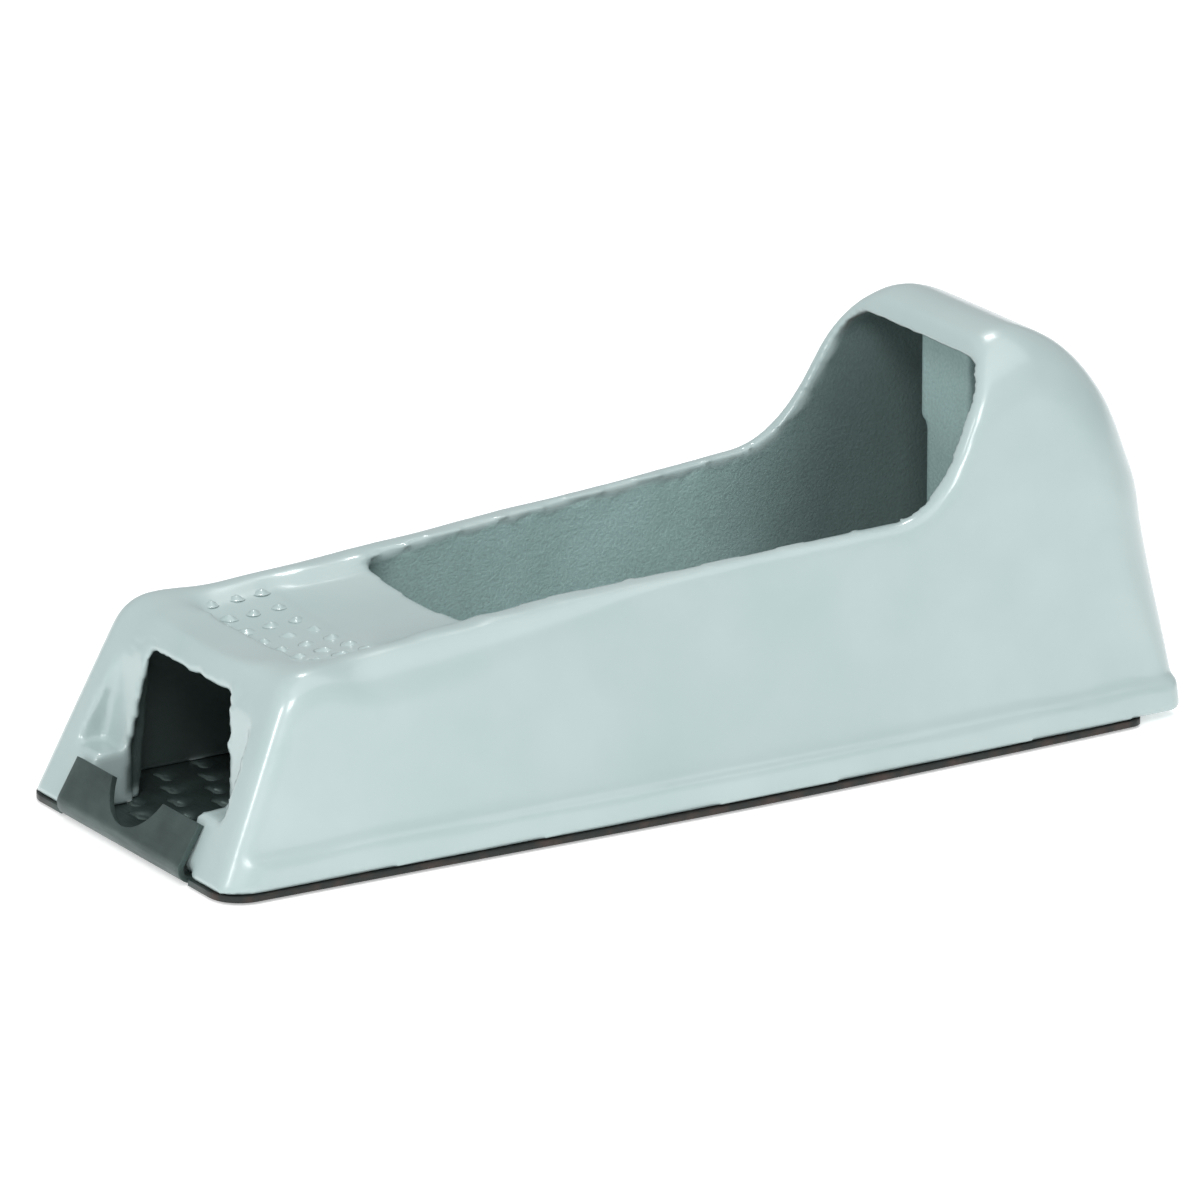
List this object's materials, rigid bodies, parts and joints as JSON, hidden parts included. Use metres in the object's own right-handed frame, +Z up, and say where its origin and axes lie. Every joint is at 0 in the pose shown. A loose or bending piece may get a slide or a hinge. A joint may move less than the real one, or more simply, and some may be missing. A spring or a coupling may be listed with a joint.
{
  "type": "pocket rasp plane",
  "caption": "One-hand rasp plane: hollow die-cast body with dotted finger pad, hand opening and raised heel, and a perforated rasp blade as its sole, drawn tight by a screw in the heel.",
  "frame": {"origin": "bottom centre of the whole plane's bounding box, on the underside of the blade", "axes": "+X from the toe to the heel, +Y to the left side seen from the heel, +Z up from the sole"},
  "size_m": [0.146, 0.0556, 0.0525],
  "materials": {
    "body_paint": "light silver-grey gloss paint over a die casting",
    "blade_steel": "dark grey hardened sheet steel",
    "plated_steel": "bright zinc-plated steel",
    "plate_steel": "plain grey steel"
  },
  "bodies": {
    "body": {"body": "body_paint", "screw_washer": "plated_steel"},
    "screw": {"tension_screw": "plated_steel"},
    "plate": {"tension_plate": "plate_steel"},
    "blade": {"rasp_blade": "blade_steel"}
  },
  "joints": [
    {"name": "plate_travel", "type": "slide", "parent": "body", "child": "plate", "axis": [-1, 0, 0], "range_m": [0, 0.0035]},
    {"name": "screw_turn", "type": "hinge", "parent": "body", "child": "screw", "pos_m": [0.0704, 0, 0.0096], "axis": [1, 0, 0], "range_deg": [0, 1800]},
    {"name": "blade_slack", "type": "slide", "parent": "body", "child": "blade", "axis": [-1, 0, 0], "range_m": [0, 0.0035]}
  ],
  "couplings": [
    {"joint": "screw_turn", "follows": "plate_travel", "rad_per_m": 8975.9},
    {"joint": "blade_slack", "follows": "plate_travel", "ratio": 1}
  ]
}
